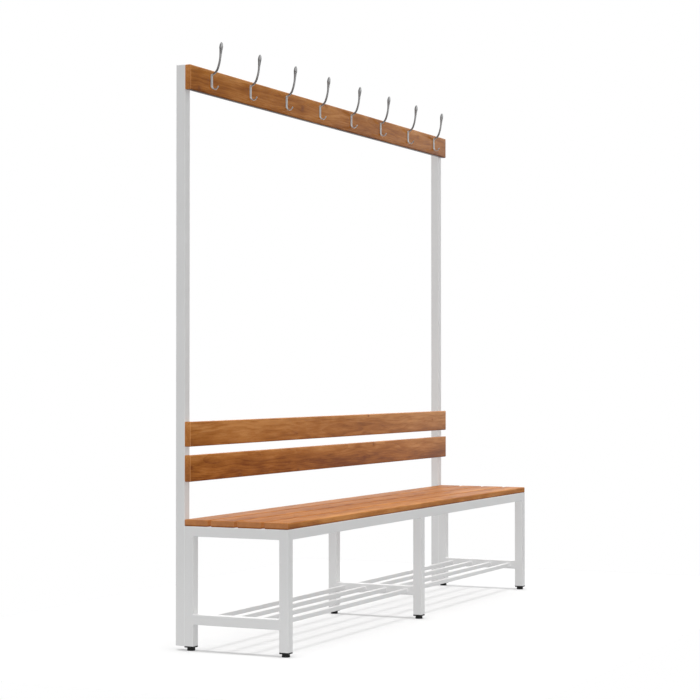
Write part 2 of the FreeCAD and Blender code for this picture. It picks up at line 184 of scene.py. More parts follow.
alderLook = dict(
    stops=[(0.0, (0.165, 0.043, 0.0040)), (0.3, (0.255, 0.081, 0.0095)),
           (0.55, (0.335, 0.117, 0.018)), (1.0, (0.475, 0.205, 0.055))],
    middle=0.52,                            # place on the stops of a board without a tone of its own
    # noises: cycles along, across and through the grain, detail, roughness, and share in the shade
    figure=dict(
        broad=((2.2, 20.0, 20.0), 2.0, 0.5, 1.1),
        blotch=((11.0, 70.0, 70.0), 3.0, 0.5, 0.9),
        streak=((14.0, 240.0, 240.0), 3.0, 0.55, 0.7),
        fibre=((70.0, 2200.0, 2200.0), 2.0, 0.5, 0.55),
    ),
    ringSpacing=4.6 * mm, ringSharpness=2.5, ringMean=0.29, ringShare=0.22,
    waverCycles=(1.7, 6.0, 6.0), waver=45.0 * mm,   # how the rings wander along the board
    knotColour=(0.16, 0.042, 0.004, 1.0), knotDepth=0.68,
    knotCell=(0.33, 0.085),                 # metres between knots, along and across
    knotShare=0.65,                         # of the cells that hold a knot
    knotSize=(3.0 * mm, 5.0 * mm),          # least radius, and what chance adds to it
    knotSquash=0.8,                         # what a distance along the grain counts, so that knots are long
    knotFade=1.6,                           # in knot radii, where the last of its colour is
    ragCycles=(260.0, 420.0, 420.0), rag=(0.55, 0.9),   # least share of the radius, and what noise adds
    haloSize=6.0, haloShade=0.22, haloPull=0.8,     # the size is in knot radii
    rimSharpness=12.0, paintedRimShade=0.4,        # painted shade on the long edges of an upright board, against their lit rounding
    crestSharpness=3.0,
    # painted shade along a seat board's lower edge: how far below its middle it starts, its fade and its
    # shade
    paintedLowShade=(4.6 * mm, 3.6 * mm, 0.65),
    endColour=(0.40, 0.18, 0.085, 1.0),
    endShare=(0.6, 0.35),                   # of that colour, and how much less on an upright board
    wornColour=(0.58, 0.30, 0.13, 1.0), wornShare=1.5,  # along the arris at each end of an upright board
    roughness=0.46, streakRough=0.16, knotRough=0.08, endRough=0.1, shine=0.11,
    relief=dict(fibre=0.5, ring=0.35, knot=0.3), bump=(0.25, 0.25 * mm),
)


# Streaks follow the board's length, rings lie round a pith line beside the board, and knots push both aside
def lacqueredAlder(look):
    wood = newFinish("lacqueredAlder")
    grain = wood.field("grain")
    pith = wood.field("pith")
    tone, endGrainAndGapLight, dulling = wood.field("board").parts()
    edgeward, crest, upright = wood.field("edge").parts()
    rim = (edgeward * edgeward) ** look["rimSharpness"]
    # painted shade along the lower edge of a seat board, where it takes no end colour either
    lowStart, lowFade, lowShade = look["paintedLowShade"]
    paintedLowShade = ((grain.parts()[2] + lowStart) / -lowFade).clamped() * (1.0 - upright)
    paleness = tone + crest * (edgeward * 0.5 + 0.5) ** look["crestSharpness"]
    # painted shade: darker long edges on an upright board and a darker lower edge on a seat board
    paleness = paleness - rim * upright * look["paintedRimShade"] - paintedLowShade * lowShade

    # distance to the nearest knot in metres, shorter along the grain so that knots are long
    cellAlong, cellAcross = look["knotCell"]
    spot = grain.vector("MULTIPLY", (1 / cellAlong, 1 / cellAcross, 0.0))
    cells = {"Vector": spot, "Scale": 1.0}
    nearest = wood.node("TexVoronoi", {"voronoi_dimensions": "2D"}, cells, "Position")
    chance, girth = nearest.other("Color").parts()[:2]
    inMetres = (look["knotSquash"] * cellAlong, cellAcross, 0.0)
    offset = spot.vector("SUBTRACT", nearest).vector("MULTIPLY", inMetres)
    distance = offset.vector("LENGTH", output="Value")
    present = chance.math("LESS_THAN", look["knotShare"]) * (1.0 - rim)
    leastRadius, moreRadius = look["knotSize"]
    radius = girth * moreRadius + leastRadius
    leastRag, moreRag = look["rag"]
    ragged = wood.noise(grain, look["ragCycles"], detail=2.0) * moreRag + leastRag
    knot = (look["knotFade"] - distance / (radius * ragged)).clamped() * present
    halo = (1.0 - distance / (radius * look["haloSize"])).clamped() ** 2.0 * present

    # the grain is read nearer to the knot than it lies, which leads its lines round the knot
    pull = offset.vector("MULTIPLY", (0.0, -look["haloPull"], 0.0))
    bent = wood.node("VectorMath", {"operation": "SCALE"}, {0: pull, "Scale": halo}, "Vector")
    flow = grain.vector("ADD", bent)
    ringPlace = pith.vector("ADD", wood.node("CombineXYZ", {}, {"X": bent.parts()[1]}, "Vector"))
    waver = wood.noise(flow, look["waverCycles"], detail=2.0) * look["waver"]
    ringDepth = (ringPlace.vector("LENGTH", output="Value") + waver) / look["ringSpacing"]
    ring = ringDepth.math("FRACT") ** look["ringSharpness"]

    noises = {}
    shades = []
    for name, (cycles, detail, roughness, share) in look["figure"].items():
        noises[name] = wood.noise(flow, cycles, detail, roughness)
        shades.append((noises[name] - 0.5) * share)
    shade = sum(shades) + (look["ringMean"] - ring) * look["ringShare"]
    place = shade + paleness + look["middle"] - halo * look["haloShade"]
    plain = wood.node("ValToRGB", {"stops": look["stops"]}, {0: place}, "Color")
    knotted = wood.mixed(knot * look["knotDepth"], plain, look["knotColour"])
    endShare, uprightLess = look["endShare"]
    # the end colour also lies on the front sides of the first three seat boards as painted light in the gaps
    ends = endGrainAndGapLight * (endShare - upright * uprightLess) * (1.0 - paintedLowShade)
    ended = wood.mixed(ends, knotted, look["endColour"])
    arris = endGrainAndGapLight * (1.0 - endGrainAndGapLight) * upright * look["wornShare"]
    worn = wood.mixed(arris, ended, look["wornColour"])
    rough = (noises["streak"] - 0.5) * look["streakRough"] + knot * look["knotRough"]
    rough = rough + endGrainAndGapLight * look["endRough"] + dulling + look["roughness"]
    relief = look["relief"]
    height = noises["fibre"] * relief["fibre"] + ring * relief["ring"] + knot * relief["knot"]
    return wood.surface(base_color=worn, roughness=rough, specular_ior_level=look["shine"],
                        normal=wood.bump(height, *look["bump"]))


coatLook = dict(colour=0.585, spread=0.02, roughness=0.34, peel=0.9 * mm, peelRough=0.1,
                drift=0.2, driftRough=0.08, bump=(0.12, 0.05 * mm))


# Light grey powder coat: the fine orange peel of the cured powder, and a slow drift of its tone
def powderCoat(look):
    coat = newFinish("powderCoat")
    place = coat.place()
    peel = coat.evenNoise(place, look["peel"], detail=2.0)
    drift = coat.evenNoise(place, look["drift"], detail=2.0)
    paint = coat.mixed(drift, grey(look["colour"] - look["spread"]), grey(look["colour"] + look["spread"]))
    rough = (peel - 0.5) * look["peelRough"] + (drift - 0.5) * look["driftRough"] + look["roughness"]
    return coat.surface(base_color=paint, roughness=rough, normal=coat.bump(peel, *look["bump"]))


hookLook = dict(dark=0.66, light=0.80, paintedRootShade=0.43, roughness=0.45, wipe=14.0 * mm, wipeRough=0.1,
                lineCycles=(3000.0, 3000.0, 240.0), lineRough=0.12, bump=(0.04, 0.02 * mm))


# Bright plating over a polished forging: faint cloudy wipes, fine polishing lines, and painted shade: a
# darker tone at the root of the upper prong
def platedMetal(look):
    metal = newFinish("hookPlating")
    place = metal.place()
    cloud = metal.evenNoise(place, look["wipe"], detail=3.0)
    lines = metal.noise(place, look["lineCycles"], detail=2.0)
    unrubbed = metal.field("unrubbed").parts()[0]
    bright = metal.mixed(cloud, grey(look["dark"]), grey(look["light"]))
    # painted shade: a darker grey at the root of the upper prong
    plate = metal.mixed(unrubbed, bright, grey(look["paintedRootShade"]))
    rough = (lines - 0.5) * look["lineRough"] + (cloud - 0.5) * look["wipeRough"] + look["roughness"]
    return metal.surface(base_color=plate, metallic=1.0, roughness=rough,
                         normal=metal.bump(lines, *look["bump"]))


zincLook = dict(dark=(0.46, 0.47, 0.49, 1.0), light=(0.62, 0.63, 0.65, 1.0), spangle=2.2 * mm,
                spangleShare=0.5, cloud=2.5 * mm, roughness=0.34, mottleRough=0.2, bump=(0.06, 0.03 * mm))


# Zinc plating: small pale and dark patches
def zincPlate(look):
    zinc = newFinish("zincPlate")
    place = zinc.place()
    cells = {"Vector": place, "Scale": 1 / look["spangle"]}
    spangle = zinc.node("TexVoronoi", {}, cells, "Color").parts()[0]
    cloud = zinc.evenNoise(place, look["cloud"], detail=3.0)
    mottle = spangle * look["spangleShare"] + cloud * (1 - look["spangleShare"])
    plate = zinc.mixed(mottle, look["dark"], look["light"])
    rough = (mottle - 0.5) * look["mottleRough"] + look["roughness"]
    return zinc.surface(base_color=plate, metallic=1.0, roughness=rough,
                        normal=zinc.bump(cloud, *look["bump"]))


plasticLook = dict(dark=0.004, light=0.010, roughness=0.5, shine=0.25, texture=0.35 * mm, textureRough=0.1,
                   scuffCycles=(90.0, 90.0, 90.0), scuffRough=0.2, bump=(0.2, 0.05 * mm))


# Moulded plastic with a fine spark-eroded texture and faint scuffs
def mouldedPlastic(name, look):
    plastic = newFinish(name)
    place = plastic.place()
    spark = plastic.evenNoise(place, look["texture"], detail=2.0)
    scuff = plastic.noise(place, look["scuffCycles"], detail=4.0)
    paint = plastic.mixed(scuff, grey(look["dark"]), grey(look["light"]))
    rough = (scuff - 0.5) * look["scuffRough"] + (spark - 0.5) * look["textureRough"] + look["roughness"]
    return plastic.surface(base_color=paint, roughness=rough, specular_ior_level=look["shine"],
                           normal=plastic.bump(spark, *look["bump"]))


finishes = {
    "powder_coat": powderCoat(coatLook),
    "wood": lacqueredAlder(alderLook),
    "hook_metal": platedMetal(hookLook),
    "black_plastic": mouldedPlastic("blackPlastic", plasticLook),
    "zinc_steel": zincPlate(zincLook),
    "grey_plastic": mouldedPlastic("greyPlastic", dict(plasticLook, dark=0.55, light=0.60)),
}
for node, slot in slotOf.items():
    frame["nodes"][node].data.materials.clear()
    frame["nodes"][node].data.materials.append(finishes[slot])
print("finishes:", ", ".join(finishes))


# Surfaces: a shape is its points, its quads and its triangles, worked out from rings of points

# From 0 to 1, level at both ends
def smoothStep(t):
    t = np.clip(t, 0.0, 1.0)
    return t * t * (3.0 - 2.0 * t)


def mixedValues(first, second, share):
    return first + (second - first) * share


# Angles of points evenly spaced once round
def onceRound(count):
    return np.linspace(0, 2 * np.pi, count, endpoint=False)


# Distance from the first point of a track to each of its points
def distanceAlong(track):
    return np.concatenate([[0], np.cumsum(np.linalg.norm(np.diff(track, axis=0), axis=1))])


# Turns every face over if the volume that they enclose comes out negative
def facingOut(points, quads, tris):
    fans = np.concatenate([quads[:, :3], quads[:, [0, 2, 3]], tris])
    a, b, c = points[fans].transpose(1, 0, 2)
    if np.sum(a * np.cross(b, c)) < 0:
        return points, quads[:, ::-1], tris[:, ::-1]
    return points, quads, tris


# Quads join each ring to the next. A loop of rings ends where it starts; otherwise a fan closes each end
def skin(rings, loop=False):
    count, around = rings.shape[:2]
    row = around * np.arange(count if loop else count - 1)[:, None]
    here = np.arange(around)[None, :]
    beside = (here + 1) % around
    above = (row + around) % (count * around)
    quads = np.stack([row + here, row + beside, above + beside, above + here], -1).reshape(-1, 4)
    points = rings.reshape(-1, 3)
    tris = np.zeros((0, 3), int)
    if not loop:
        here, beside = here[0], beside[0]
        last = (count - 1) * around
        first = np.stack([beside, here, np.full(around, len(points))], -1)
        final = np.stack([last + here, last + beside, np.full(around, len(points) + 1)], -1)
        tris = np.concatenate([first, final])
        points = np.concatenate([points, rings[:1].mean(1), rings[-1:].mean(1)])
    return facingOut(points, quads, tris)


# Several shapes as one
def joined(shapes):
    starts = np.cumsum([0] + [len(shape[0]) for shape in shapes[:-1]])
    points = np.concatenate([shape[0] for shape in shapes])
    quads = np.concatenate([shape[1] + start for shape, start in zip(shapes, starts)])
    tris = np.concatenate([shape[2] + start for shape, start in zip(shapes, starts)])
    return points, quads, tris


# Outline of a rounded rectangle about (0, 0): four quarter circles, with a guard point on the flats beside
# each of their ends so that flats shade flat. A list of insets gives that many outlines, each drawn in by its
# inset
def roundedOutline(width, height, radius, insets=(0.0,), steps=6, guard=0.5 * mm):
    corner = np.repeat(np.arange(4), steps + 3) * np.pi / 2
    turn = np.tile(np.concatenate([[0.0], np.linspace(0, 1, steps + 1), [1.0]]), 4) * np.pi / 2
    slide = np.tile(np.concatenate([[-guard], np.zeros(steps + 1), [guard]]), 4)
    angle = corner + turn
    centreU = np.sign(np.cos(corner + np.pi / 4)) * (width / 2 - radius)
    centreV = np.sign(np.sin(corner + np.pi / 4)) * (height / 2 - radius)
    drawn = radius - np.asarray(insets, float)[:, None]
    u = centreU + drawn * np.cos(angle) - slide * np.sin(angle)
    v = centreV + drawn * np.sin(angle) + slide * np.cos(angle)
    return np.stack([u, v], -1)


# Circles of the given radii, each of the same number of points
def circles(radii, around):
    angle = onceRound(around)
    return np.asarray(radii, float)[:, None, None] * np.stack([np.cos(angle), np.sin(angle)], -1)


alongX, alongY, alongZ = 0, 1, 2


# Sets outlines at places along an axis, about a centre
def alongAxis(outlines, places, axis, centre):
    acrossAxes = [k for k in range(3) if k != axis]
    rings = np.empty(outlines.shape[:2] + (3,))
    rings[..., axis] = np.asarray(places)[:, None]
    rings[..., acrossAxes] = outlines + np.asarray(centre)[acrossAxes]
    return rings


def nodeBox(node):
    low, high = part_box(node)
    return np.array(low), np.array(high)


# The mesh of a shape, with the body, slot and finish of the CAD node that it is like
def addPiece(name, shape, like, stands=(), fields=None, sharpAngle=35.0):
    points, quads, tris = shape
    mesh = bpy.data.meshes.new(name)
    mesh.from_pydata(points.tolist(), [], quads.tolist() + tris.tolist())
    mesh.polygons.foreach_set("use_smooth", np.ones(len(mesh.polygons), bool))
    mesh.set_sharp_from_angle(angle=np.radians(sharpAngle))
    for field, values in (fields or {}).items():
        layer = mesh.attributes.new(field, "FLOAT_VECTOR", "POINT")
        layer.data.foreach_set("vector", values.astype(np.float32).ravel())
    mesh.materials.append(finishes[slotOf[like]])
    piece = bpy.data.objects.new(name, mesh)
    bpy.context.scene.collection.objects.link(piece)
    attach(piece, bodyOf[like])
    if stands:
        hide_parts(*stands)


# Boards: where each was cut along its plank, how pale it is, how much paler one long edge is than the middle,
# evenly (lean) and close to that edge (crest), how far its front side, seen in the gaps of the seat, has the
# paler colour of sawn ends as painted light (paintedGapLight), and where its pith lies, across and through it
boardCuts = {
    "hook_rail": dict(along=0.78, tone=-0.05, lean=0.14, crest=0.2, pith=(0.020, -0.050)),
    "upper_backrest_slat": dict(along=4.53, tone=0.04, lean=0.04, crest=0.34, pith=(-0.015, -0.060)),
    "lower_backrest_slat": dict(along=7.7, tone=-0.20, lean=0.17, crest=0.3, pith=(0.030, -0.045)),
    "seat_slat_1": dict(along=12.27, tone=-0.05, lean=0.0, crest=0.0, paintedGapLight=0.5, pith=(0.010, -0.070)),
    "seat_slat_2": dict(along=15.57, tone=-0.09, lean=0.05, crest=0.0, paintedGapLight=0.5, pith=(-0.025, -0.055)),
    "seat_slat_3": dict(along=18.97, tone=-0.02, lean=-0.04, crest=0.0, paintedGapLight=0.5, pith=(0.015, -0.060)),
    "seat_slat_4": dict(along=27.77, tone=0.0, lean=-0.10, crest=0.0, pith=(-0.010, -0.050)),
}
boardLook = dict(
    edgeRound=3.5 * mm, endRound=2.0 * mm, guard=0.8 * mm, steps=7,
    sideStart=0.97,                         # share of the way to a long edge where its side starts
    dulling={True: -0.28, False: 0.045},    # of the lacquer, on upright boards and on the seat
)


# A rounded rectangle carried along X, drawn in over a quarter circle at both ends
def boardShape(low, high, look):
    size = high - low
    rounding = look["endRound"]
    inner = rounding + look["guard"]
    turn = np.linspace(np.pi / 2, 0, look["steps"])
    endInsets = np.concatenate([[inner], rounding * (1 - np.cos(turn)), [0.0]])
    endPlaces = np.concatenate([[0.0], rounding * (1 - np.sin(turn)), [inner]])
    insets = np.concatenate([endInsets, endInsets[::-1]])
    places = np.concatenate([low[0] + endPlaces, high[0] - endPlaces[::-1]])
    outlines = roundedOutline(size[1], size[2], look["edgeRound"], insets, look["steps"])
    return skin(alongAxis(outlines, places, alongX, (low + high) / 2))


def addBoard(node, cut, look):
    low, high = nodeBox(node)
    shape = boardShape(low, high, look)
    local = shape[0] - (low + high) / 2
    upright = bool((high - low)[2] > (high - low)[1])
    across, through = (local[:, 2], -local[:, 1]) if upright else (local[:, 1], local[:, 2])
    edgeward = across / across.max()
    toEnd = np.minimum(shape[0][:, 0] - low[0], high[0] - shape[0][:, 0])
    endGrainAndGapLight = np.clip(1 - toEnd / look["endRound"], 0, 1)
    # painted light: a seat board's front side, seen only in the gaps, takes some of the paler end colour
    endGrainAndGapLight = np.maximum(endGrainAndGapLight, cut.get("paintedGapLight", 0.0) * (edgeward < -look["sideStart"]))
    still = np.zeros_like(across)
    fields = {
        "grain": np.stack([local[:, 0] + cut["along"], across, through], -1),
        "pith": np.stack([across - cut["pith"][0], through - cut["pith"][1], still], -1),
        "board": np.stack([cut["tone"] + cut["lean"] * edgeward, endGrainAndGapLight,
                           still + look["dulling"][upright]], -1),
        "edge": np.stack([edgeward, still + cut["crest"], still + upright], -1),
    }
    addPiece(node + "_board", shape, node, [node], fields)


for node, cut in boardCuts.items():
    addBoard(node, cut, boardLook)
print("boards:", len(boardCuts))


# Coat hooks, in degrees, and in millimetres from the rail's face (forward) and from its top (up)
hookSizes = dict(
    plateHalfWidth=6.5, plateHalfDepth=1.15, plateSquareness=6.0,
    topBend=3.0,                                 # radius where the plate turns into the upper prong
    upperStart=(1.2, -15.2), upperRise=14.5,     # where the upper prong leaves the plate, and its slope
    upperBend=31.5, upperHeading=68.5,
    sweep=139.0, sweepTurn=16.0, upperRadius=3.3, upperBulb=5.95, upperNeck=25.0, upperTip=16.5,
    taper=34.0,                                  # length over which the upper prong swells
    narrowing=8.0,                               # length over which the plate becomes the upper prong
    rootShadeStart=5.0, rootShadeFull=13.0, rootShadeEnd=62.0,  # along the upper prong, where the painted shade at its root starts, is full and ends
    lowerBend=10.5, lowerCentre=(12.75, -48.9), lowerTurn=150.0,
    lowerLeave=70.0,                             # turn over which the lower prong leaves the plate
    lowerFlat=(18.0, 62.0),                      # turn where it starts to grow round, and over which it does
    lowerRadius=2.2, lowerBulb=2.7, lowerNeck=2.0, lowerTip=3.0,
    steps=dict(lower=34, plate=8, top=16, rise=26, sweep=16, bulb=14), around=32,
)


# A bend of constant radius: the heading turns evenly, to the left where the turn is positive
def bendTrack(start, heading, turn, radius, count):
    angle = np.radians(heading + turn * np.linspace(0, 1, count))
    swing = np.stack([np.sin(angle), -np.cos(angle)], -1)
    return start + np.sign(turn) * radius * (swing - swing[0])


# A straight end that swells from the prong's radius and closes as half an ellipse, just short of its tip
def bulbTrack(start, heading, thin, thick, neck, tip, count):
    rise = np.linspace(0, 1, count)
    turn = np.linspace(0, 0.495 * np.pi, count)[1:]
    along = np.concatenate([neck * rise, neck + tip * np.sin(turn)])
    radius = np.concatenate([mixedValues(thin, thick, smoothStep(rise)), thick * np.cos(turn)])
    step = np.array([np.cos(np.radians(heading)), np.sin(np.radians(heading))])
    return start + along[:, None] * step, radius


# Track, radius and flatness from the tip of the lower prong to the plate: a bulb, and an arc that closes in
# on its own radius as it leaves the plate
def lowerProng(s):
    angle = np.radians(np.linspace(0, s["lowerTurn"], s["steps"]["lower"]))
    onPlate = s["lowerCentre"][0] - s["plateHalfDepth"]
    reach = mixedValues(onPlate, s["lowerBend"], smoothStep(angle / np.radians(s["lowerLeave"])))
    arc = np.array(s["lowerCentre"]) - reach[:, None] * np.stack([np.cos(angle), np.sin(angle)], -1)
    flatStart, flatSpan = np.radians(s["lowerFlat"])
    arcFlat = 1 - smoothStep((angle - flatStart) / flatSpan)
    bulb, bulbRadius = bulbTrack(arc[-1], s["lowerTurn"] - 90, s["lowerRadius"], s["lowerBulb"],
                                 s["lowerNeck"], s["lowerTip"], s["steps"]["bulb"])
    track = np.concatenate([arc, bulb[1:]])
    radius = np.concatenate([np.full(len(arc), s["lowerRadius"]), bulbRadius[1:]])
    flat = np.concatenate([arcFlat, np.zeros(len(bulb) - 1)])
    return track[::-1], radius[::-1], flat[::-1]


# The plate's track, and that of the upper prong as far as its tip. The top bend touches the upper bend from
# outside, which gives the heading where they meet
def upperTracks(s):
    steps = s["steps"]
    rise = np.radians(s["upperRise"])
    centre = np.array(s["upperStart"]) + s["upperBend"] * np.array([-np.sin(rise), np.cos(rise)])
    centreForward = s["plateHalfDepth"] + s["topBend"] - centre[0]
    between = s["topBend"] + s["upperBend"]
    meet = np.degrees(np.arcsin(centreForward / between))
    bendStart = centre[1] - np.sqrt(between ** 2 - centreForward ** 2)
    plateUp = np.linspace(s["lowerCentre"][1], bendStart, steps["plate"])
    plate = np.stack([np.full(steps["plate"], s["plateHalfDepth"]), plateUp], -1)
    turned = bendTrack(plate[-1], 90, meet - 90, s["topBend"], steps["top"])
    rising = bendTrack(turned[-1], meet, s["upperHeading"] - meet, s["upperBend"], steps["rise"])
    swept = bendTrack(rising[-1], s["upperHeading"], s["sweepTurn"], s["sweep"], steps["sweep"])
    bulb, bulbRadius = bulbTrack(swept[-1], s["upperHeading"] + s["sweepTurn"], s["upperRadius"],
                                 s["upperBulb"], s["upperNeck"], s["upperTip"], steps["bulb"])
    return plate[1:-1], np.concatenate([turned, rising[1:], swept[1:], bulb[1:]]), bulbRadius


# A strip carried from the lower bulb, up the plate and along the upper prong. Its section is a superellipse
# that is wide, flat and nearly square on the plate, and round on the prongs
def hookShape(face, top, middle, s):
    lower, lowerRadius, lowerFlat = lowerProng(s)
    plate, upper, bulbRadius = upperTracks(s)
    along = distanceAlong(upper)
    bulbSteps = s["steps"]["bulb"]
    widest = len(upper) - bulbSteps
    swelling = np.clip(1 - (along[widest] - along) / s["taper"], 0, 1) ** 2
    upperRadius = mixedValues(s["upperRadius"], s["upperBulb"], swelling)
    upperRadius[widest:] = bulbRadius[-bulbSteps:]
    upperFlat = 1 - smoothStep(along / s["narrowing"])
    # painted shade near the root of the upper prong
    upperRootShade = smoothStep((along - s["rootShadeStart"]) / (s["rootShadeFull"] - s["rootShadeStart"]))
    upperRootShade = upperRootShade * (1 - smoothStep((along - s["rootShadeFull"]) / (s["rootShadeEnd"] - s["rootShadeFull"])))

    track = np.concatenate([lower, plate, upper])
    radius = np.concatenate([lowerRadius, np.full(len(plate), s["lowerRadius"]), upperRadius])
    flat = np.concatenate([lowerFlat, np.ones(len(plate)), upperFlat])
    paintedRootShade = np.concatenate([np.zeros(len(lower) + len(plate)), upperRootShade])
    unrubbed = np.concatenate([np.repeat(paintedRootShade, s["around"]), [0.0, 0.0]])    # the last two close the ends

    ahead = np.gradient(track, distanceAlong(track), axis=0)
    ahead /= np.linalg.norm(ahead, axis=1)[:, None]
    turn = onceRound(s["around"])[None, :]
    power = 2 / mixedValues(2.0, s["plateSquareness"], flat)[:, None]
    halfWidth = mixedValues(radius, s["plateHalfWidth"], flat)[:, None]
    halfDepth = mixedValues(radius, s["plateHalfDepth"], flat)[:, None]
    wide = halfWidth * np.sign(np.cos(turn)) * np.abs(np.cos(turn)) ** power
    deep = halfDepth * np.sign(np.sin(turn)) * np.abs(np.sin(turn)) ** power
    forward = track[:, :1] - deep * ahead[:, 1:]
    up = track[:, 1:] + deep * ahead[:, :1]
    shape = skin(np.stack([middle + mm * wide, face - mm * forward, top + mm * up], -1))
    return shape, {"unrubbed": np.repeat(unrubbed[:, None], 3, 1)}


railLow, railHigh = nodeBox("hook_rail")
hookNodes = sorted(node for node in slotOf if node.removeprefix("hook_").isdigit())
for node in hookNodes:
    low, high = nodeBox(node)
    shape, fields = hookShape(railLow[1], railHigh[2], (low[0] + high[0]) / 2, hookSizes)
    addPiece(node + "_forging", shape, node, [node], fields, sharpAngle=60.0)
print("hooks:", len(hookNodes))


# Levelling feet
padLook = dict(
    edge=1.3 * mm, edgeSteps=6, taper=1.0 * mm, sideSteps=8,
    soleMiddle=0.3, soleGuard=1.4,              # in radii from the middle, and in edges from the rim
    flutes=20, fluteDepth=0.45 * mm, fluteSharpness=3,
    lip=0.5 * mm, lipWidth=(2.0 * mm, 2.6 * mm),    # round the bore, at its foot and at its top
    boreMiddle=0.5, around=160,
)
threadLook = dict(pitch=1.25 * mm, depth=0.68 * mm, perTurn=8, around=36, chamfer=0.8 * mm,
                  flank=(1.3, 0.15),            # how steep the flanks are, and how flat the crests
                  clearance=0.08 * mm)          # between a stud and its bore


# A turned profile from the middle of the sole to the floor of the bore, with shallow flutes round its side
def padShape(low, high, bore, boreFloor, look):
    middle = (low + high) / 2
    radius = (high - low)[0] / 2
    top = high[2]
    edge = look["edge"]
    turn = np.linspace(0, np.pi / 2, look["edgeSteps"])
    sole = [(look["soleMiddle"] * radius, 0.0), (radius - look["soleGuard"] * edge, 0.0)]
    heel = np.stack([radius + edge * (np.sin(turn) - 1), edge * (1 - np.cos(turn))], -1)
    share = np.linspace(0, 1, look["sideSteps"])[1:-1]
    crownStart = (radius - look["taper"], top - edge)
    side = heel[-1] + share[:, None] * (np.array(crownStart) - heel[-1])
    crown = np.stack([crownStart[0] + edge * (np.cos(turn) - 1), crownStart[1] + edge * np.sin(turn)], -1)
    lipFoot, lipTop = look["lipWidth"]
    lipFloor = top - look["lip"]
    rest = [(bore + lipTop, top), (bore + lipFoot, lipFloor), (bore, lipFloor),
            (bore, boreFloor), (look["boreMiddle"] * bore, boreFloor)]
    profile = np.concatenate([sole, heel, side, crown, rest])
    band = np.zeros(len(profile))
    sideStart = len(sole) + len(heel)
    band[sideStart:sideStart + len(side)] = np.sin(np.pi * share) ** 0.5
    outlines = circles(np.ones(len(profile)), look["around"])
    wave = 0.5 + 0.5 * np.cos(look["flutes"] * onceRound(look["around"]))
    reach = profile[:, :1] - look["fluteDepth"] * band[:, None] * wave ** look["fluteSharpness"]
    return skin(alongAxis(outlines * reach[..., None], profile[:, 1], alongZ, middle))


# A thread: the radius falls and rises once for each pitch along the stud, and once for each turn round it
def studShape(low, high, look):
    middle = (low + high) / 2
    radius = (high - low)[0] / 2
    length = high[2] - low[2]
    turns = length / look["pitch"]
    along = np.linspace(0, length, int(turns * look["perTurn"]) + 1)
    phase = along[:, None] / look["pitch"] - onceRound(look["around"])[None, :] / (2 * np.pi)
    valley = 1 - np.abs(2 * (phase % 1.0) - 1)
    steepness, crest = look["flank"]
    toEnd = np.minimum(along, length - along)[:, None]
    cone = radius - look["chamfer"] + toEnd
    reach = np.minimum(radius - look["depth"] * smoothStep(steepness * valley - crest), cone)
    outlines = circles(np.ones(len(along)), look["around"]) * reach[..., None]
    return skin(alongAxis(outlines, low[2] + along, alongZ, middle))


# Radius of the hole that a foot's stud goes into
def studBore(foot):
    low, high = nodeBox(foot + "_stud")
    return (high - low)[0] / 2 + threadLook["clearance"]


feet = [column + "_" + row + "_foot" for column in columns for row in rows]
for foot in feet:
    padLow, padHigh = nodeBox(foot + "_pad")
    studLow, studHigh = nodeBox(foot + "_stud")
    pad = padShape(padLow, padHigh, studBore(foot), studLow[2], padLook)
    addPiece(foot + "_pad_moulding", pad, foot + "_pad", [foot + "_pad"], sharpAngle=50.0)
    stud = studShape(studLow, studHigh, threadLook)
    addPiece(foot + "_stud_thread", stud, foot + "_stud", [foot + "_stud"], sharpAngle=80.0)
print("feet:", len(feet))


# Plugs: the flange has the tube's outline and a soft rim, and the spigot fits inside the tube
plugLook = dict(corner=1.2 * mm, rim=0.5 * mm, rimSteps=5, rimGuard=1.0 * mm, wall=1.6 * mm,
                spigotCorner=0.3 * mm, capDepth=14.0 * mm, insertDepth=25.0 * mm)


# Outlines from the flange's outer face to its inner face, and their heights above the outer face
def flangeRings(size, thickness, look):
    turn = np.linspace(0, np.pi / 2, look["rimSteps"])
    insets = np.concatenate([[look["rimGuard"]], look["rim"] * (1 - np.sin(turn)), [0.0]])
    heights = np.concatenate([[0.0], look["rim"] * (1 - np.cos(turn)), [thickness]])
    return roundedOutline(size, size, look["corner"], insets), heights


# The spigot's outline twice, for its two ends
def spigotOutlines(size, look):
    width = size - 2 * look["wall"]
    return roundedOutline(width, width, look["spigotCorner"], (0.0, 0.0))


# Cap: from the middle of its outer face, round the rim, under the flange and down the spigot
def capShape(centre, outer, inward, size, thickness, look):
    rim, heights = flangeRings(size, thickness, look)
    outlines = np.concatenate([rim, spigotOutlines(size, look)])
    heights = np.concatenate([heights, [thickness, thickness + look["capDepth"]]])
    return skin(alongAxis(outlines, outer + inward * heights, alongZ, centre))


# Insert: the same, with a bore for the stud, so that its rings close into a loop
def insertShape(centre, bottom, size, thickness, bore, look):
    rim, heights = flangeRings(size, thickness, look)
    mouth = circles([bore, bore], rim.shape[1])
    outlines = np.concatenate([mouth[:1], rim, spigotOutlines(size, look), mouth[1:]])
    top = thickness + look["insertDepth"]
    heights = np.concatenate([[0.0], heights, [thickness, top, top]])
    return skin(alongAxis(outlines, bottom + heights, alongZ, centre), loop=True)


caps = []
capLow, capHigh = nodeBox("upright_caps")
for side in bays:
    low, high = nodeBox(side + "_upright")
    size, middle = (high - low)[0], (low + high) / 2
    caps.append(capShape(middle, capHigh[2], -1, size, capHigh[2] - high[2], plugLook))
    caps.append(capShape(middle, capLow[2], 1, size, low[2] - capLow[2], plugLook))
addPiece("upright_caps_moulding", joined(caps), "upright_caps", ["upright_caps"])

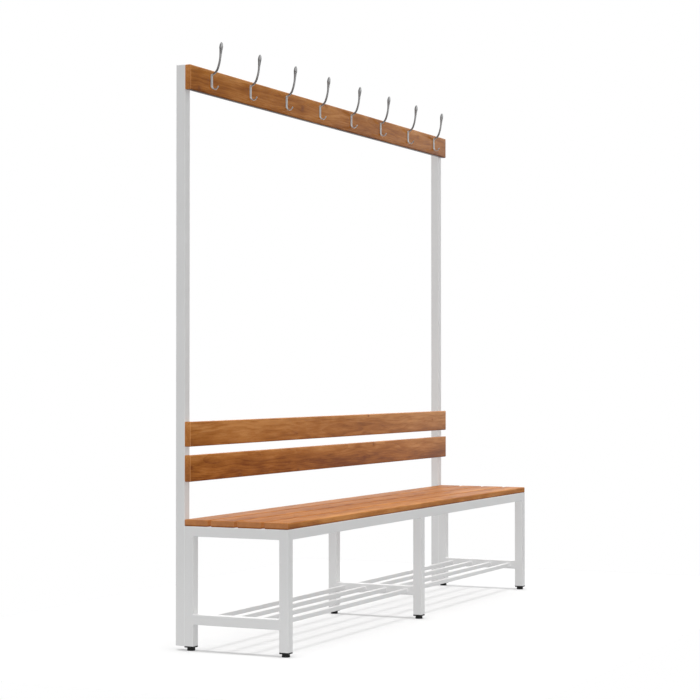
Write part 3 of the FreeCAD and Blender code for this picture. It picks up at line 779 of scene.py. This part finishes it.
inserts = []
insertBore = studBore(feet[-1])
for column in columns:
    for row in rows:
        low, high = nodeBox(column + "_" + row + "_leg")
        size, middle = (high - low)[0], (low + high) / 2
        padTop = nodeBox(column + "_" + row + "_foot_pad")[1][2]
        inserts.append(insertShape(middle, padTop, size, low[2] - padTop, insertBore, plugLook))
addPiece("foot_inserts_moulding", joined(inserts), "foot_inserts", ["foot_inserts"])
print("plugs:", len(caps), "caps and", len(inserts), "inserts")


# Welds of the frame
weldLook = dict(
    corner=1.2 * mm, leg=2.4 * mm, hollow=0.22, sunk=0.4,   # the last two are shares of the leg
    ripple=0.16 * mm, ripplePitch=1.3 * mm, perRipple=5, arcSteps=7,
    endTaper=2.2 * mm, leastTaper=0.02,
    seamSink=0.15 * mm, seamLap=0.7 * mm, seamSteps=9,
    seamFoot=(0.2, 0.8),                    # across and down to the bottom of its section, in corners
    seamPlaces=(0.0, 0.04, 0.96, 1.0),      # of its sections, along its length
)
barWeldLook = dict(weldLook, corner=1.5 * mm, leg=1.7 * mm)


# Fillet bead along a corner: its two legs lie on the two faces, and rounded ripples run along it
def beadShape(start, end, legOne, legTwo, look):
    run = end - start
    length = np.linalg.norm(run)
    count = int(length / look["ripplePitch"] * look["perRipple"]) + 2
    along = np.linspace(0, 1, count)
    toEnd = np.minimum(along, 1 - along) * length
    swell = np.sqrt(np.clip(toEnd / look["endTaper"], look["leastTaper"], 1.0))
    ripple = look["ripple"] * np.abs(np.sin(np.pi * along * length / look["ripplePitch"]))
    turn = np.linspace(0, np.pi / 2, look["arcSteps"])
    bow = 1 - look["hollow"] + look["hollow"] * np.cos(2 * turn) ** 2
    reach = look["leg"] * swell[:, None] * bow + (ripple * swell)[:, None] * np.sin(2 * turn)
    arc = reach[..., None] * (np.cos(turn)[:, None] * legOne + np.sin(turn)[:, None] * legTwo)
    sunk = -look["sunk"] * look["leg"] * (legOne + legTwo)
    back = np.broadcast_to(sunk, (count, 1, 3)) * swell[:, None, None]
    section = np.concatenate([arc, back], 1)
    return skin(start + along[:, None, None] * run + section)


# Ground seam: fills the groove that a tube's rounded corner leaves beside a butted tube, flush in its middle
def seamShape(start, end, out, toGroove, look):
    share = np.linspace(0, 1, look["seamSteps"])
    across = mixedValues(-look["seamLap"], look["corner"] + look["seamLap"], share)
    height = look["seamSink"] * (np.sin(np.pi * share) - 1)
    top = across[:, None] * toGroove + height[:, None] * out
    footAcross, footDown = look["seamFoot"]
    bottom = footAcross * look["corner"] * toGroove - footDown * look["corner"] * out
    section = np.concatenate([top, bottom[None]])
    along = np.array(look["seamPlaces"])[:, None, None]
    return skin(start + along * (end - start) + section[None])


def unit(axis):
    direction = np.zeros(3)
    direction[axis] = 1.0
    return direction


# The edges at both ends of a tube along an axis, on the given sides; a side is an axis and a sign. Each edge
# is its start, its end, the way along the tube and the way out of its side
def endEdges(node, axis, sides, corner):
    low, high = nodeBox(node)
    edges = []
    for end, inward in ((low, 1.0), (high, -1.0)):
        for side, sign in sides:
            run = alongX + alongY + alongZ - axis - side
            middle = (low + high) / 2
            middle[axis] = end[axis]
            middle[side] = (low, high)[sign > 0][side]
            half = ((high - low)[run] / 2 - corner) * unit(run)
            edges.append((middle - half, middle + half, inward * unit(axis), sign * unit(side)))
    return edges


def endBeads(node, axis, sides, look):
    return [beadShape(start, end, inward, out, look)
            for start, end, inward, out in endEdges(node, axis, sides, look["corner"])]


# Seams are on the two faces that are level with the tubes that a tube butts against
def endSeams(node, axis, side, look):
    faces = [(side, -1.0), (side, 1.0)]
    return [seamShape(start, end, out, -inward, look)
            for start, end, inward, out in endEdges(node, axis, faces, look["corner"])]


below, above = (alongZ, -1.0), (alongZ, 1.0)
ahead, behind = (alongY, -1.0), (alongY, 1.0)
beads = []
seams = []
for column in columns:
    beads += endBeads(column + "_seat_crossbar", alongY, [below], weldLook)
    beads += endBeads(column + "_shoe_crossbar", alongY, [below, above], weldLook)
    seams += endSeams(column + "_seat_crossbar", alongY, alongX, weldLook)
    seams += endSeams(column + "_shoe_crossbar", alongY, alongX, weldLook)
for bay in bays:
    for row in rows:
        beads += endBeads(row + "_" + bay + "_seat_rail", alongX, [below], weldLook)
        seams += endSeams(row + "_" + bay + "_seat_rail", alongX, alongY, weldLook)
    for node in sorted(node for node in slotOf if node.startswith(bay + "_shoe_bar")):
        beads += endBeads(node, alongX, [below, ahead, behind], barWeldLook)
addPiece("frame_weld_beads", joined(beads), "left_seat_crossbar", sharpAngle=70.0)
addPiece("frame_weld_seams", joined(seams), "left_seat_crossbar", sharpAngle=50.0)
print("welds:", len(beads), "beads and", len(seams), "seams")


# Studio: the lens looks along lensWay, and the white backdrop is ahead of it
studioLook = dict(
    dome=0.44,                      # strength of the soft light from all round
    underside=0.12,                 # its share that comes from below the horizon
    horizon=7.0,                    # how sharply it falls to that
    lensWay=(0.905, 0.426, 0.0),
    mirror=1.6,                     # strength of the room that mirrors see
    # its shade from behind the lens to ahead of it
    mirrorStops=[(0.0, 0.47), (0.3, 0.42), (0.5, 0.28), (0.74, 0.15), (0.80, 0.17), (0.825, 0.38),
                 (0.84, 1.0)],
    leftWay=(-0.426, 0.905, 0.0),
    leftShade=0.65,                 # how much darker the room is to the left of the backdrop
    leftEdge=(4.0, 0.6),            # how sharply it darkens there, and how far aside
    floorAlbedo=0.12, floorSeenAlbedo=0.42, floorGlow=0.34, floorReach=(1.7, 1.1),
)
lamps = {
    "overheadFrame": dict(towards=(0.0, 0.0, -1.0), strength=1.35, angle=0.3),
    "overheadRack": dict(towards=(0.0, 0.0, -1.0), strength=1.55, angle=0.3),
    "overheadSeat": dict(towards=(0.0, 0.0, -1.0), strength=0.4, angle=0.3),
    "lensFill": dict(towards=(0.905, 0.426, -0.03), strength=2.1, angle=0.3, shadows=False),
    "frontFill": dict(towards=(-0.1, 0.99, -0.1), strength=0.70, angle=0.6, shadows=False),
    "rightFill": dict(towards=(-0.95, 0.1, -0.1), strength=1.6, angle=0.6, shadows=False),
    "backFill": dict(towards=(0.1, -0.95, -0.1), strength=1.6, angle=0.6, shadows=False),
}
# Most of the overhead light goes through the seat, so that the shoe rack is lit as well
frameBlockers = ("_leg", "_upright", "_shoe_crossbar", "_foot_pad_moulding")
lampBlockers = {"overheadFrame": frameBlockers, "overheadRack": frameBlockers + ("_shoe_bar",)}


# The camera sees white. Mirrors see a bright backdrop ahead of the lens and a darker room elsewhere, and
# everything else gets the soft dome
def makeSky(look):
    world = bpy.data.worlds.new("studio")
    bpy.context.scene.world = world
    sky = Finish(world)
    seen = sky.node("LightPath", output="Is Camera Ray")
    mirrored = seen.other("Is Glossy Ray") + seen.other("Is Transmission Ray")
    way = sky.node("TexCoord", output="Generated")
    ahead = way.vector("DOT_PRODUCT", look["lensWay"], "Value")
    risen = (way.parts()[2] * look["horizon"] + 1.0).clamped() * (1 - look["underside"]) + look["underside"]
    stops = [(place, (shade, shade, shade)) for place, shade in look["mirrorStops"]]
    mirrorShade = sky.node("ValToRGB", {"stops": stops}, {0: ahead * 0.5 + 0.5}, "Color")
    sharpness, start = look["leftEdge"]
    aside = (way.vector("DOT_PRODUCT", look["leftWay"], "Value") * sharpness - start).clamped()
    mirrorLight = risen * (1 - aside * look["leftShade"]) * look["mirror"]
    dome = sky.node("Background", {}, {"Color": grey(1.0), "Strength": risen * look["dome"]})
    mirror = sky.node("Background", {}, {"Color": mirrorShade, "Strength": mirrorLight})
    backdrop = sky.node("Background", {}, {"Color": grey(1.0), "Strength": 1.0})
    lit = sky.node("MixShader", {}, {0: mirrored, 1: dome, 2: mirror})
    whole = sky.node("MixShader", {}, {0: seen, 1: lit, 2: backdrop})
    sky.node("OutputWorld", {}, {"Surface": whole})


# Pale floor: to the camera and to mirrors part of its white is a glow, so shadows on it stay faint
def makeFloor(look):
    floorFinish = newFinish("paleFloor")
    seen = floorFinish.node("LightPath", output="Is Camera Ray")
    looked = seen + seen.other("Is Glossy Ray") + seen.other("Is Transmission Ray")
    plain = floorFinish.node("BsdfDiffuse", {}, {"Color": grey(look["floorAlbedo"])})
    matt = floorFinish.node("BsdfDiffuse", {}, {"Color": grey(look["floorSeenAlbedo"])})
    glow = floorFinish.node("Emission", {}, {"Color": grey(1.0), "Strength": look["floorGlow"]})
    pale = floorFinish.node("AddShader", {}, {0: matt, 1: glow})
    whole = floorFinish.node("MixShader", {}, {0: looked, 1: plain, 2: pale})
    floorFinish.node("OutputMaterial", {}, {"Surface": whole})
    x, y = look["floorReach"]
    mesh = bpy.data.meshes.new("floor")
    mesh.from_pydata([(-x, -y, 0), (x, -y, 0), (x, y, 0), (-x, y, 0)], [], [(0, 1, 2, 3)])
    mesh.materials.append(floorFinish.owner)
    floor = bpy.data.objects.new("floor", mesh)
    bpy.context.scene.collection.objects.link(floor)


def addLamp(name, towards, strength, angle, shadows=True):
    light = bpy.data.lights.new(name, "SUN")
    light.energy = strength
    light.angle = angle
    light.use_shadow = shadows
    lamp = bpy.data.objects.new(name, light)
    lamp.rotation_euler = Vector(towards).to_track_quat("-Z", "Y").to_euler()
    lamp.visible_glossy = False
    bpy.context.scene.collection.objects.link(lamp)


# Only pieces with one of these words in their names stop the lamp's light
def limitShadows(lamp, words):
    blockers = bpy.data.collections.new(lamp.name + "Blockers")
    for piece in bpy.context.scene.objects:
        if any(word in piece.name for word in words):
            blockers.objects.link(piece)
    lamp.light_linking.blocker_collection = blockers


# Camera: yaw turns from +Y towards +X, and pitch looks up; the lens and its sensor are in millimetres
cameraLook = dict(place=(-5.9606, -2.7304, 0.8193), yaw=1.12995, pitch=0.0137, lens=98.335, sensor=36.0,
                  clipEnd=200.0)


def addCamera(look):
    yaw, pitch = look["yaw"], look["pitch"]
    ahead = Vector((np.sin(yaw) * np.cos(pitch), np.cos(yaw) * np.cos(pitch), np.sin(pitch)))
    right = Vector((np.cos(yaw), -np.sin(yaw), 0.0))
    up = right.cross(ahead)
    lens = bpy.data.cameras.new("camera")
    lens.lens = look["lens"]
    lens.sensor_width = look["sensor"]
    lens.clip_end = look["clipEnd"]
    camera = bpy.data.objects.new("camera", lens)
    turn = Matrix((right, up, -ahead)).transposed().to_4x4()
    camera.matrix_world = Matrix.Translation(look["place"]) @ turn
    bpy.context.scene.collection.objects.link(camera)
    bpy.context.scene.camera = camera


makeSky(studioLook)
makeFloor(studioLook)
for name, lamp in lamps.items():
    addLamp(name, **lamp)
for name, words in lampBlockers.items():
    limitShadows(bpy.data.objects[name], words)
addCamera(cameraLook)
bpy.context.scene.view_settings.view_transform = "Standard"
print("studio:", len(lamps), "lamps and a camera")
